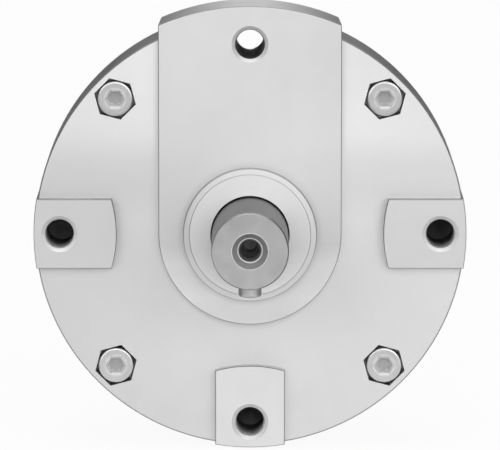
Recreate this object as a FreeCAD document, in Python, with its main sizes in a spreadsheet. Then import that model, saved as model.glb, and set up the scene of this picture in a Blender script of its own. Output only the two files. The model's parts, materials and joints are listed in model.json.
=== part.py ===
"""Vane type rotary actuator with a keyed output shaft.

The shaft axis lies along Y and the shaft points to -Y. The origin is on that axis, in the mounting plane
that the tongue and the three pads share. +Z is up, all sizes are in millimetres.
"""
import FreeCAD, Part
import math
import os
import re
import Sketcher

SIZES = [
    ("shaft_dia", 20, "output shaft diameter"),
    ("shaft_reach", 33, "shaft tip ahead of the mounting plane"),
    ("tip_chamfer", 0.35, "chamfer on the shaft ends"),
    ("shaft_shoulder", 1, "step from the shaft to its thicker middle"),
    ("centre_rim_dia", 9.2, "rim of the centre hole in the shaft tip"),
    ("centre_neck_dia", 6.3, "foot of the cone in the centre hole"),
    ("centre_bore_dia", 5.4, "thread of the centre hole"),
    ("centre_bore_depth", 7.3, "that thread behind its ledge"),
    ("centre_pilot_dia", 3.5, "pilot bore of the centre hole"),
    ("centre_depth", 18, "depth of the centre hole"),
    ("stub_dia", 12, "rear shaft end"),
    ("stub_length", 8, "rear shaft end beyond the housing"),
    ("stub_flats", 10, "distance across the flats of the rear shaft end"),
    ("key_width", 6, "feather key width"),
    ("key_height", 6, "feather key height"),
    ("key_seat", 3.5, "feather key depth in the shaft"),
    ("key_setback", 3, "feather key behind the shaft tip"),
    ("key_run", 1.3, "feather key to the bearing cap"),
    ("key_round", 0.8, "round on the outer edges of the feather key"),
    ("flange_radius", 56.5, "front disc of the housing"),
    ("disc_face", 3, "front disc behind the mounting plane"),
    ("disc_depth", 23, "front disc, face to parting plane"),
    ("edge_break", 0.2, "chamfer on the edges of the tongue and pads"),
    ("disc_break", 0.35, "chamfer on the front edge of the disc"),
    ("tongue_width", 48, "raised tongue"),
    ("tongue_proud", 3.5, "crown of the tongue beyond the disc"),
    ("draft_angle", 1, "casting draft of the tongue, in degrees"),
    ("pad_width", 18.3, "raised pads"),
    ("pad_proud", 0.3, "outer end of the pads beyond the disc"),
    ("pad_length", 21.8, "raised pads, along their middle"),
    ("pad_end_radius", 33, "curve of the inner end of the pads"),
    ("collar_wall", 1.5, "centring collar outside the bearing bore"),
    ("collar_height", 2, "centring collar ahead of the mounting plane"),
    ("collar_chamfer", 0.2, "chamfer on the collar"),
    ("bolt_inset", 6.5, "mounting holes inside the rim of the disc"),
    ("bolt_hole_dia", 7.8, "thread of the mounting holes"),
    ("bolt_hole_depth", 18, "depth of the blind mounting holes"),
    ("bolt_sink", 0.9, "countersink of the mounting holes"),
    ("screw_inset", 6.5, "housing screws inside the rim of the disc"),
    ("screw_dia", 6, "housing screw thread"),
    ("screw_gap", 0.3, "housing screw to its hole"),
    ("screw_spare", 1.2, "housing screw beyond its nut"),
    ("screw_chamfer", 0.6, "chamfer on the end of a housing screw"),
    ("head_dia", 9.4, "housing screw head"),
    ("head_height", 6, "height of that head"),
    ("head_round", 0.6, "round on the edge of that head"),
    ("head_gap", 0.2, "that head to the flats of its hexagonal pocket"),
    ("pocket_depth", 6, "hexagonal pocket of a screw head"),
    ("socket_flats", 4.2, "hexagon socket, across flats inside its lead"),
    ("socket_lead", 0.35, "lead at the mouth of the hexagon socket"),
    ("socket_depth", 2.3, "depth of the hexagon socket"),
    ("socket_draft", 14, "taper of the hexagon socket, in degrees"),
    ("nut_flats", 10, "housing nut, across flats"),
    ("nut_height", 5, "housing nut"),
    ("nut_face", 9.4, "round face of a housing nut inside its bevel"),
    ("nut_room", 0.4, "corners of a housing nut to the wall of its spot face"),
    ("chamber_inset", 16.5, "round wall of the vane chamber inside the rim of the disc"),
    ("chamber_length", 30, "vane chamber, front wall to back wall"),
    ("bearing_dia", 32, "bearing outer diameter"),
    ("bearing_width", 7, "bearing width"),
    ("ball_wall", 1.25, "bearing ring behind its ball groove"),
    ("race_depth", 0.65, "depth of a ball groove"),
    ("ball_count", 11, "balls in a bearing"),
    ("race_gap", 0.15, "ball to race clearance"),
    ("cage_rim", 0.75, "cage beside a ball"),
    ("cage_gap", 0.2, "ball to cage clearance"),
    ("lip_width", 1, "wall between a bearing and its seal"),
    ("lip_gap", 1, "that wall to the shaft"),
    ("seal_dia", 30, "shaft seal outer diameter"),
    ("seal_width", 4, "shaft seal width"),
    ("seal_gap", 0.08, "shaft seal running clearance"),
    ("cap_gap", 0.4, "bearing cap to shaft clearance"),
    ("cap_chamfer", 0.15, "chamfer on the rim of a bearing cap"),
    ("seat_gap", 0.02, "play of a seated piece"),
    ("ring_room", 2, "space for the retaining rings behind the rear bearing"),
    ("ring_thick", 1.2, "retaining ring thickness"),
    ("bore_ring_groove", 0.85, "groove of the bore retaining ring"),
    ("bore_ring_wall", 2, "bore retaining ring inside the bearing bore"),
    ("shaft_ring_groove", 0.8, "groove of the shaft retaining ring"),
    ("shaft_ring_wall", 2.2, "shaft retaining ring outside the shaft"),
    ("ring_opening", 5, "opening of a retaining ring"),
    ("hub_wall", 3, "vane hub round the shaft"),
    ("vane_thick", 8, "vane blade"),
    ("end_gap", 0.3, "vane to chamber end wall clearance"),
    ("tip_gap", 0.8, "vane blade to chamber wall clearance"),
    ("lip_thick", 3, "vane seal and stator seal thickness"),
    ("lip_depth", 2.5, "depth of the seals in their grooves"),
    ("lip_run", 0.2, "vane seal and stator seal running clearance"),
    ("hub_key_width", 6, "vane key width"),
    ("hub_key_seat", 2.5, "vane key depth in the shaft"),
    ("hub_key_height", 5, "vane key height"),
    ("hub_key_length", 20, "vane key length"),
    ("hub_gap", 0.4, "stator shoe to vane hub clearance"),
    ("buffer_dia", 9, "stop buffer"),
    ("buffer_seat", 3, "stop buffer depth in the stator shoe"),
    ("buffer_proud", 2, "stop buffer ahead of the stator shoe"),
    ("buffer_station", 8, "stop buffer behind the front wall of the chamber"),
    ("stop_gap", 0.3, "vane to stop buffer at full swing"),
    ("dowel_dia", 4, "stator dowel"),
    ("dowel_inset", 6, "stator dowels from the vane hub and from the round wall"),
    ("dowel_hold", 3, "stator dowel in each chamber wall"),
    ("cord_dia", 1.8, "housing gasket cord"),
    ("cord_inset", 3, "middle of the housing gasket outside the chamber"),
    ("groove_width", 2.2, "groove of the housing gasket"),
    ("drum_wall", 6, "rear housing round the chamber, at the parting plane"),
    ("drum_draft", 1, "rear housing, loss of radius to its back edge"),
    ("drum_round", 4, "round on the back edge of the rear housing"),
    ("back_wall", 6, "back wall of the rear housing"),
    ("boss_wall", 6, "rear bearing boss round its bore"),
    ("boss_round", 2.5, "round at the foot of the rear bearing boss"),
    ("boss_chamfer", 0.8, "chamfer on the rim of the rear bearing boss"),
    ("ear_rim", 5.5, "screw ears beyond the middle of their screws"),
    ("ear_width", 20, "screw ears at the drum"),
    ("ear_tip_width", 13, "screw ears where their round tip starts"),
    ("ear_shoulder", 1.5, "start of that tip outside the screw circle"),
    ("ear_depth", 12, "screw ears, parting plane to nut"),
    ("rib_thick", 4, "ribs on the back wall"),
    ("rib_count", 8, "number of ribs"),
    ("rib_drop", 3, "top of the ribs below the boss"),
    ("rib_inset", 5, "outer end of the ribs inside the drum"),
    ("port_spacing", 34, "air ports, centre to centre"),
    ("port_station", 9, "air ports behind the parting plane"),
    ("port_proud", 3, "face of the air ports above the drum"),
    ("port_boss_dia", 16, "air port boss"),
    ("port_dia", 9.7, "air port thread"),
    ("port_depth", 8, "air port depth"),
    ("port_lead", 0.5, "lead at the mouth of an air port"),
    ("passage_dia", 5, "air passage"),
    ("channel_width", 16, "channel behind the through hole"),
    ("channel_wall", 3.6, "floor of that channel above the chamber"),
]

# Places along the shaft axis, as formulas of the sizes.
PARTING = "(disc_face + disc_depth)"
CHAMBER_FRONT = "(bearing_width + lip_width + seal_width)"
CHAMBER_BACK = f"({CHAMBER_FRONT} + chamber_length)"
REAR_BEARING = f"({CHAMBER_BACK} + seal_width + lip_width)"
RING_START = f"({REAR_BEARING} + bearing_width)"
CAP_START = f"({RING_START} + ring_room)"
BOSS_END = f"({CAP_START} + collar_height)"
WALL_BACK = f"({CHAMBER_BACK} + back_wall)"
STUB_END = f"({BOSS_END} + stub_length)"
EAR_BACK = f"({PARTING} + ear_depth)"
SHAFT_TIP = "(-shaft_reach)"
KEY_FRONT = f"({SHAFT_TIP} + key_setback)"
KEY_BACK = "(-collar_height - key_run)"

# Places across the shaft axis, most of them radii about it.
BOLT_RADIUS = "(flange_radius - bolt_inset)"
SCREW_RADIUS = "(flange_radius - screw_inset)"
DIAGONAL = f"{SCREW_RADIUS} / sqrt(2)"
TONGUE_RADIUS = "(flange_radius + tongue_proud)"
PAD_RADIUS = "(flange_radius + pad_proud)"
PAD_INNER = f"({PAD_RADIUS} - pad_length)"
COLLAR_RADIUS = "(bearing_dia / 2 + collar_wall)"
BOSS_RADIUS = "(bearing_dia / 2 + boss_wall)"
CORE_RADIUS = "(shaft_dia / 2 + shaft_shoulder)"
BALL_DIA = "((bearing_dia - shaft_dia) / 2 - 2 * ball_wall)"
RING_WALL = "(ball_wall + race_depth)"
# The cage fills half of the space between the shoulders of the two bearing rings.
CAGE_WALL = f"((bearing_dia - shaft_dia) / 4 - {RING_WALL})"
CAGE_WIDTH = f"({BALL_DIA} + 2 * cage_rim)"
HUB_RADIUS = f"({CORE_RADIUS} + hub_wall)"
CHAMBER_RADIUS = "(flange_radius - chamber_inset)"
CORD_RADIUS = f"({CHAMBER_RADIUS} + cord_inset)"
DRUM_RADIUS = f"({CHAMBER_RADIUS} + drum_wall)"
EAR_REACH = f"({SCREW_RADIUS} + ear_rim)"
PORT_FACE = f"({DRUM_RADIUS} + port_proud)"
PASSAGE_END = f"({CHAMBER_RADIUS} / 2)"
CHANNEL_FLOOR = f"({CHAMBER_RADIUS} + channel_wall)"
DOWEL_PLACES = (f"{HUB_RADIUS} + dowel_inset", f"{CHAMBER_RADIUS} - dowel_inset")
BUFFER_PLACE = f"({HUB_RADIUS} + {CHAMBER_RADIUS}) / 2"
# The stator flanks lie parallel to the vane at full swing, 45 degrees each side of the vertical.
FLANK = "(vane_thick / 2 + stop_gap + buffer_proud)"

# Mounting holes, pads, housing screws and ears repeat on four sides, the screws an eighth of a turn on.
FOUR_SIDES = "4"
SCREW_TURN = (FreeCAD.Vector(0, 0, 1), 45)
FLANK_TURN = (FreeCAD.Vector(0, 1, 0), 135)
# Leads narrow at this angle, in degrees.
LEAD_TAPER = -45.0
LEAST_CHANGE = 1e-6
NEAR = 0.01

doc = FreeCAD.newDocument("rotary_actuator")
dims = doc.addObject("Spreadsheet::Sheet", "dims")
for row, (alias, size, meaning) in enumerate(SIZES, start=1):
    dims.set(f"A{row}", meaning)
    dims.set(f"B{row}", str(size))
    dims.setAlias(f"B{row}", alias)
doc.recompute()


def bound(formula):
    """Point every size named in a formula at its cell of the sheet."""
    return re.sub(r"[a-z]\w*", lambda name: name[0] if name[0] == "sqrt" else "dims." + name[0], formula)


def value(formula):
    return float(dims.evalExpression(bound(formula)))


def new_body(label):
    body = doc.addObject("PartDesign::Body", label)
    body.Label = label
    return body


def origin(body, role):
    return next(item for item in body.Origin.OriginFeatures if item.Role == role)


def sketch_on(body, role, lift="0", side="0", rise="0", turn=None):
    """A sketch on an origin plane, moved by formulas along its own axes and turned by axis and degrees."""
    sketch = body.newObject("Sketcher::SketchObject", "sketch")
    sketch.AttachmentSupport = [(origin(body, role), "")]
    sketch.MapMode = "FlatFace"
    if turn:
        sketch.AttachmentOffset = FreeCAD.Placement(FreeCAD.Vector(), FreeCAD.Rotation(*turn))
    for letter, formula in (("x", side), ("y", rise), ("z", lift)):
        if formula != "0":
            sketch.setExpression(f"AttachmentOffset.Base.{letter}", bound(formula))
    return sketch


def tie(sketch, kind, edge, point, formula):
    """Hold one coordinate of a point of an edge at a formula."""
    number = sketch.addConstraint(Sketcher.Constraint(kind, -1, 1, edge, point, value(formula)))
    sketch.setExpression(f"Constraints[{number}]", bound(formula))


def arc_between(start, end, height, way):
    """An arc from start to end about a centre level between them, and whether it runs anticlockwise."""
    centre = FreeCAD.Vector((start.x + end.x) / 2, height, 0)
    angles = [math.atan2(point.y - centre.y, point.x - centre.x) for point in (start, end)]
    crown = math.pi / 2 if way == "over" else -math.pi / 2
    full = 2 * math.pi
    forward = (crown - angles[0]) % full < (angles[1] - angles[0]) % full
    if not forward:
        angles.reverse()
    if angles[1] < angles[0]:
        angles[1] += full
    round_line = Part.Circle(centre, FreeCAD.Vector(0, 0, 1), (start - centre).Length)
    return Part.ArcOfCircle(round_line, *angles), forward


def outline(sketch, points):
    """A closed outline. A point's third and fourth entries make the edge after it an arc: the height of the
    arc's centre, which is level between its ends, and "over" or "under" for the way that it bulges."""
    count = len(points)
    first = sketch.GeometryCount
    places = [FreeCAD.Vector(value(point[0]), value(point[1]), 0) for point in points]
    ends = []
    for number, point in enumerate(points):
        after = places[(number + 1) % count]
        edge, forward = Part.LineSegment(places[number], after), True
        if len(point) > 2:
            edge, forward = arc_between(places[number], after, value(point[2]), point[3])
        sketch.addGeometry(edge)
        ends.append((1, 2) if forward else (2, 1))
    for number in range(count):
        after = (number + 1) % count
        sketch.addConstraint(
            Sketcher.Constraint("Coincident", first + number, ends[number][1], first + after, ends[after][0]))
    for number, point in enumerate(points):
        tie(sketch, "DistanceX", first + number, ends[number][0], point[0])
        tie(sketch, "DistanceY", first + number, ends[number][0], point[1])
        if len(point) > 2:
            tie(sketch, "DistanceY", first + number, 3, point[2])


def circle(sketch, side, rise, radius):
    place = FreeCAD.Vector(value(side), value(rise), 0)
    edge = sketch.addGeometry(Part.Circle(place, FreeCAD.Vector(0, 0, 1), value(radius)))
    tie(sketch, "DistanceX", edge, 3, side)
    tie(sketch, "DistanceY", edge, 3, rise)
    number = sketch.addConstraint(Sketcher.Constraint("Radius", edge, value(radius)))
    sketch.setExpression(f"Constraints[{number}]", bound(radius))


def hexagon(side, rise, flats):
    """Corners of a hexagon with two level flats."""
    corner = f"({flats}) / sqrt(3)"
    half = f"({flats}) / 2"
    return [
        (f"{side} + {corner}", rise),
        (f"{side} + {corner} / 2", f"{rise} + {half}"),
        (f"{side} - {corner} / 2", f"{rise} + {half}"),
        (f"{side} - {corner}", rise),
        (f"{side} - {corner} / 2", f"{rise} - {half}"),
        (f"{side} + {corner} / 2", f"{rise} - {half}"),
    ]


def box(left, bottom, right, top):
    return [(left, bottom), (right, bottom), (right, top), (left, top)]


def volume(body):
    return body.Shape.Volume if body.Tip else 0.0


def feature(body, kind, profile, **settings):
    """Add one feature and make sure that it takes material away, or adds some, as its kind says."""
    before = volume(body)
    item = body.newObject(f"PartDesign::{kind}", kind.lower())
    if profile:
        item.Profile = profile
    for name, setting in settings.items():
        if isinstance(setting, str) and name not in ("SideType", "Type"):
            item.setExpression(name, bound(setting))
        else:
            setattr(item, name, setting)
    doc.recompute()
    change = body.Shape.Volume - before
    cut_too_little = kind in ("Pocket", "Groove") and change > -LEAST_CHANGE
    added_too_little = kind in ("Pad", "Revolution") and change < LEAST_CHANGE
    if cut_too_little or added_too_little:
        raise RuntimeError(f"{body.Label}: {kind} changed the volume by {change}")
    return item


def pad(body, sketch, length, **settings):
    return feature(body, "Pad", sketch, Length=length, **settings)


def pocket(body, sketch, length, **settings):
    return feature(body, "Pocket", sketch, Length=length, **settings)


def revolve(body, points, kind="Revolution", **place):
    """Turn an outline of (radius, place along Y) about the vertical axis of its sketch."""
    sketch = sketch_on(body, "XY_Plane", **place)
    outline(sketch, points)
    return feature(body, kind, sketch, ReferenceAxis=(sketch, ["V_Axis"]), Angle=360.0)


def around(body, items, count):
    """Repeat features evenly about the shaft axis."""
    pattern = body.newObject("PartDesign::PolarPattern", "pattern")
    pattern.Originals = items
    pattern.Axis = (origin(body, "Y_Axis"), [""])
    pattern.Angle = 360.0
    pattern.setExpression("Occurrences", bound(count))
    body.Tip = pattern
    doc.recompute()
    return pattern


def mirrored(body, items):
    """Repeat features on the other side of the middle plane."""
    mirror = body.newObject("PartDesign::Mirrored", "mirror")
    mirror.Originals = items
    mirror.MirrorPlane = (origin(body, "YZ_Plane"), [""])
    body.Tip = mirror
    doc.recompute()
    return mirror


def picked_edges(body, wanted):
    """The edges of a body that a test of the edge picks out."""
    names = [f"Edge{number}" for number, edge in enumerate(body.Shape.Edges, start=1) if wanted(edge)]
    if not names:
        raise RuntimeError(f"{body.Label}: no edge is picked out")
    return body.Tip, names


def round_edges(body, radius, wanted):
    return feature(body, "Fillet", None, Base=picked_edges(body, wanted), Radius=radius)


def break_edges(body, size, wanted):
    return feature(body, "Chamfer", None, Base=picked_edges(body, wanted), Size=size)


def is_ring(radius, station):
    """Test for a full round edge across the shaft axis, by its radius and its place along Y."""
    def test(edge):
        if not isinstance(edge.Curve, Part.Circle) or not edge.isClosed():
            return False
        offsets = (edge.Curve.Radius - value(radius), edge.Curve.Center.y - value(station))
        return max(map(abs, offsets)) < NEAR
    return test


def is_mounting_edge(edge):
    """Test for an edge that lies in the mounting plane, apart from the foot of the collar."""
    flat = max(abs(edge.BoundBox.YMin), abs(edge.BoundBox.YMax)) < NEAR
    return flat and not is_ring(COLLAR_RADIUS, "0")(edge)


def ring_body(label, inner, outer, start, end):
    body = new_body(label)
    revolve(body, box(inner, start, outer, end))
    return body


def chord(radius, half_width):
    """Distance from the axis to a chord of a circle."""
    return f"sqrt(({radius})^2 - ({half_width})^2)"


def screw_places():
    return [(f"{x} * {DIAGONAL}", f"{z} * {DIAGONAL}") for x in ("1", "-1") for z in ("1", "-1")]


def port_sketch(body, radius):
    """Two circles on the axes of the air ports, in the plane of the port faces."""
    sketch = sketch_on(body, "XY_Plane", lift=PORT_FACE)
    for side in ("port_spacing / 2", "-port_spacing / 2"):
        circle(sketch, side, f"{PARTING} + port_station", radius)
    return sketch


def slot(width, front, back):
    """Outline of a key with round ends, seen along Z."""
    half = f"{width} / 2"
    return [
        (half, f"{front} + {half}"),
        (half, f"{back} - {half}", f"{back} - {half}", "over"),
        (f"-{half}", f"{back} - {half}"),
        (f"-{half}", f"{front} + {half}", f"{front} + {half}", "under"),
    ]


def u_strip(near, far, front, back, thickness):
    """Outline in the YZ plane of a seal strip that runs round three sides of the vane blade."""
    return [
        (front, f"-({near})"),
        (front, f"-({far})"),
        (back, f"-({far})"),
        (back, f"-({near})"),
        (f"{back} - ({thickness})", f"-({near})"),
        (f"{back} - ({thickness})", f"-({far}) + ({thickness})"),
        (f"{front} + ({thickness})", f"-({far}) + ({thickness})"),
        (f"{front} + ({thickness})", f"-({near})"),
    ]


def front_housing():
    body = new_body("front_housing")
    revolve(body, [
        ("0", "-collar_height"),
        (f"{COLLAR_RADIUS} - collar_chamfer", "-collar_height"),
        (COLLAR_RADIUS, "-collar_height + collar_chamfer"),
        (COLLAR_RADIUS, "disc_face"),
        ("flange_radius - disc_break", "disc_face"),
        ("flange_radius", "disc_face + disc_break"),
        ("flange_radius", PARTING),
        ("0", PARTING),
    ])

    tongue = sketch_on(body, "XZ_Plane")
    crown = chord(TONGUE_RADIUS, "tongue_width / 2")
    outline(tongue, [
        ("-tongue_width / 2", "0", "0", "under"),
        ("tongue_width / 2", "0"),
        ("tongue_width / 2", crown, "0", "over"),
        ("-tongue_width / 2", crown),
    ])
    pad(body, tongue, PARTING, Reversed=True, TaperAngle="-draft_angle")

    foot = sketch_on(body, "XZ_Plane")
    bend = f"-({PAD_INNER} + pad_end_radius)"
    inner_corner = f"{bend} + {chord('pad_end_radius', 'pad_width / 2')}"
    outer_corner = f"-{chord(PAD_RADIUS, 'pad_width / 2')}"
    outline(foot, [
        ("-pad_width / 2", inner_corner, bend, "over"),
        ("pad_width / 2", inner_corner),
        ("pad_width / 2", outer_corner, "0", "under"),
        ("-pad_width / 2", outer_corner),
    ])
    around(body, [pad(body, foot, PARTING, Reversed=True)], FOUR_SIDES)
    break_edges(body, "edge_break", is_mounting_edge)

    lip_radius = f"{CORE_RADIUS} + lip_gap"
    revolve(body, [
        ("0", "-collar_height"),
        ("bearing_dia / 2", "-collar_height"),
        ("bearing_dia / 2", "bearing_width"),
        (lip_radius, "bearing_width"),
        (lip_radius, "bearing_width + lip_width"),
        ("seal_dia / 2", "bearing_width + lip_width"),
        ("seal_dia / 2", CHAMBER_FRONT),
        (CHAMBER_RADIUS, CHAMBER_FRONT),
        (CHAMBER_RADIUS, PARTING),
        ("0", PARTING),
    ], kind="Groove")
    groove_side = "groove_width / 2"
    revolve(body, box(f"{CORD_RADIUS} - {groove_side}", f"{PARTING} - cord_dia",
                      f"{CORD_RADIUS} + {groove_side}", PARTING), kind="Groove")

    drill_point = "bolt_hole_dia / 2 / sqrt(3)"
    hole = revolve(body, [
        ("0", "0"),
        ("bolt_hole_dia / 2 + bolt_sink", "0"),
        ("bolt_hole_dia / 2", "bolt_sink"),
        ("bolt_hole_dia / 2", "bolt_hole_depth"),
        ("0", f"bolt_hole_depth + {drill_point}"),
    ], kind="Groove", side=BOLT_RADIUS)
    around(body, [hole], FOUR_SIDES)
    through = sketch_on(body, "XZ_Plane")
    circle(through, "0", BOLT_RADIUS, "bolt_hole_dia / 2")
    pocket(body, through, PARTING)

    seat = sketch_on(body, "XZ_Plane", lift="-disc_face", turn=SCREW_TURN)
    outline(seat, hexagon("0", SCREW_RADIUS, "head_dia + 2 * head_gap"))
    around(body, [pocket(body, seat, "pocket_depth")], FOUR_SIDES)
    holes = sketch_on(body, "XZ_Plane", lift="-disc_face")
    for side, rise in screw_places():
        circle(holes, side, rise, "screw_dia / 2 + screw_gap")
    pocket(body, holes, "disc_depth")

    pins = sketch_on(body, "XZ_Plane", lift=f"-({CHAMBER_FRONT} - dowel_hold)")
    for rise in DOWEL_PLACES:
        circle(pins, "0", rise, "dowel_dia / 2 + seat_gap")
    pocket(body, pins, "dowel_hold")
    return body


def rear_housing():
    body = new_body("rear_housing")
    back_radius = f"{DRUM_RADIUS} - drum_draft"
    revolve(body, [
        ("0", PARTING),
        (DRUM_RADIUS, PARTING),
        (back_radius, WALL_BACK),
        (BOSS_RADIUS, WALL_BACK),
        (BOSS_RADIUS, f"{BOSS_END} - boss_chamfer"),
        (f"{BOSS_RADIUS} - boss_chamfer", BOSS_END),
        ("0", BOSS_END),
    ])
    round_edges(body, "drum_round", is_ring(back_radius, WALL_BACK))
    round_edges(body, "boss_round", is_ring(BOSS_RADIUS, WALL_BACK))

    ear = sketch_on(body, "XZ_Plane", lift=f"-{PARTING}", turn=SCREW_TURN)
    shoulder = f"({SCREW_RADIUS} + ear_shoulder)"
    tip_rise = "(ear_rim - ear_shoulder)"
    tip_radius = f"((ear_tip_width / 2)^2 / {tip_rise} + {tip_rise}) / 2"
    tip_centre = f"{EAR_REACH} - {tip_radius}"
    outline(ear, [
        ("-ear_width / 2", CHAMBER_RADIUS),
        ("ear_width / 2", CHAMBER_RADIUS),
        ("ear_tip_width / 2", shoulder, tip_centre, "over"),
        ("-ear_tip_width / 2", shoulder),
    ])
    around(body, [pad(body, ear, "ear_depth", Reversed=True)], FOUR_SIDES)

    rib = sketch_on(body, "YZ_Plane")
    rib_reach = f"{DRUM_RADIUS} - rib_inset"
    outline(rib, [
        (f"{WALL_BACK} - drum_round", f"{BOSS_RADIUS} - boss_round"),
        (f"{BOSS_END} - rib_drop", f"{BOSS_RADIUS} - boss_round"),
        (f"{BOSS_END} - rib_drop", BOSS_RADIUS),
        (WALL_BACK, rib_reach),
        (f"{WALL_BACK} - drum_round", rib_reach),
    ])
    around(body, [pad(body, rib, "rib_thick", SideType="Symmetric")], "rib_count")

    pad(body, port_sketch(body, "port_boss_dia / 2"), f"{PORT_FACE} - {PASSAGE_END}", Reversed=True)

    channel = sketch_on(body, "XZ_Plane", lift=f"-{PARTING}")
    half = "channel_width / 2"
    outline(channel, box(f"-{half}", CHANNEL_FLOOR, half, EAR_REACH))
    pocket(body, channel, f"{WALL_BACK} - {PARTING}")

    lip_radius = f"{CORE_RADIUS} + lip_gap"
    ring_seat = "bearing_dia / 2 + bore_ring_groove"
    revolve(body, [
        ("0", PARTING),
        (CHAMBER_RADIUS, PARTING),
        (CHAMBER_RADIUS, CHAMBER_BACK),
        ("seal_dia / 2", CHAMBER_BACK),
        ("seal_dia / 2", f"{CHAMBER_BACK} + seal_width"),
        (lip_radius, f"{CHAMBER_BACK} + seal_width"),
        (lip_radius, REAR_BEARING),
        ("bearing_dia / 2", REAR_BEARING),
        ("bearing_dia / 2", RING_START),
        (ring_seat, RING_START),
        (ring_seat, f"{RING_START} + ring_thick"),
        ("bearing_dia / 2", f"{RING_START} + ring_thick"),
        ("bearing_dia / 2", BOSS_END),
        ("0", BOSS_END),
    ], kind="Groove")

    holes = sketch_on(body, "XZ_Plane", lift=f"-{PARTING}")
    for side, rise in screw_places():
        circle(holes, side, rise, "screw_dia / 2 + screw_gap")
    pocket(body, holes, "ear_depth")
    spot_faces = sketch_on(body, "XZ_Plane", lift=f"-{EAR_BACK}")
    for side, rise in screw_places():
        circle(spot_faces, side, rise, "nut_flats / sqrt(3) + nut_room")
    pocket(body, spot_faces, f"{WALL_BACK} - {EAR_BACK}")

    pocket(body, port_sketch(body, "port_dia / 2"), "port_depth")
    pocket(body, port_sketch(body, "port_dia / 2 + port_lead"), "port_lead", TaperAngle=LEAD_TAPER)
    pocket(body, port_sketch(body, "passage_dia / 2"), f"{PORT_FACE} - {PASSAGE_END}")

    pins = sketch_on(body, "XZ_Plane", lift=f"-{CHAMBER_BACK}")
    for rise in DOWEL_PLACES:
        circle(pins, "0", rise, "dowel_dia / 2 + seat_gap")
    pocket(body, pins, "dowel_hold")
    return body


def housing_gasket():
    """Round cord ring in the groove of the parting plane."""
    ring = doc.addObject("Part::Torus", "housing_gasket")
    ring.setExpression("Radius1", bound(CORD_RADIUS))
    ring.setExpression("Radius2", bound("cord_dia / 2 - seat_gap"))
    ring.Placement = FreeCAD.Placement(FreeCAD.Vector(), FreeCAD.Rotation(FreeCAD.Vector(1, 0, 0), 90))
    ring.setExpression("Placement.Base.y", bound(f"{PARTING} - cord_dia / 2"))
    return ring


def housing_screws():
    """Four socket head screws, their heads on the floors of the hexagonal pockets."""
    body = new_body("housing_screws")
    seat = "(disc_face + pocket_depth)"
    face = f"({seat} - head_height)"
    tip = f"({EAR_BACK} + nut_height + screw_spare)"
    screw = revolve(body, [
        ("0", face),
        ("head_dia / 2", face),
        ("head_dia / 2", seat),
        ("screw_dia / 2", seat),
        ("screw_dia / 2", f"{tip} - screw_chamfer"),
        ("screw_dia / 2 - screw_chamfer", tip),
        ("0", tip),
    ], side=DIAGONAL, lift=DIAGONAL)
    around(body, [screw], FOUR_SIDES)
    round_edges(body, "head_round", is_ring("head_dia / 2", face))
    for flats, depth, taper in (("socket_flats", "socket_depth", "-socket_draft"),
                                ("socket_flats + 2 * socket_lead", "socket_lead", LEAD_TAPER)):
        sockets = sketch_on(body, "XZ_Plane", lift=f"-{face}")
        for side, rise in screw_places():
            outline(sockets, hexagon(side, rise, flats))
        pocket(body, sockets, depth, TaperAngle=taper)
    return body


def housing_nuts():
    """Four hexagon nuts on the ends of the housing screws, beveled on the corners of their outer face."""
    body = new_body("housing_nuts")
    nut = sketch_on(body, "XZ_Plane", lift=f"-{EAR_BACK}", turn=SCREW_TURN)
    outline(nut, hexagon("0", SCREW_RADIUS, "nut_flats"))
    circle(nut, "0", SCREW_RADIUS, "screw_dia / 2 + seat_gap")
    prism = pad(body, nut, "nut_height", Reversed=True)
    end = f"({EAR_BACK} + nut_height)"
    corner = "(nut_flats / sqrt(3) + nut_room)"
    bevel = revolve(body, [
        ("nut_face / 2", end),
        (corner, end),
        (corner, f"{end} - ({corner} - nut_face / 2) / sqrt(3)"),
    ], kind="Groove", side=f"-{DIAGONAL}", lift=DIAGONAL)
    around(body, [prism, bevel], FOUR_SIDES)
    return body


def bearing_cap(label, bore, start, end, face):
    """Flush ring in the mouth of a bearing bore, with a chamfered rim at its outer face."""
    body = new_body(label)
    rim = "bearing_dia / 2 - seat_gap"
    front_rim = [(f"{rim} - cap_chamfer", start), (rim, f"{start} + cap_chamfer"), (rim, end)]
    back_rim = [(rim, start), (rim, f"{end} - cap_chamfer"), (f"{rim} - cap_chamfer", end)]
    revolve(body, [(bore, start), *(front_rim if face == "front" else back_rim), (bore, end)])
    return body


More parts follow.
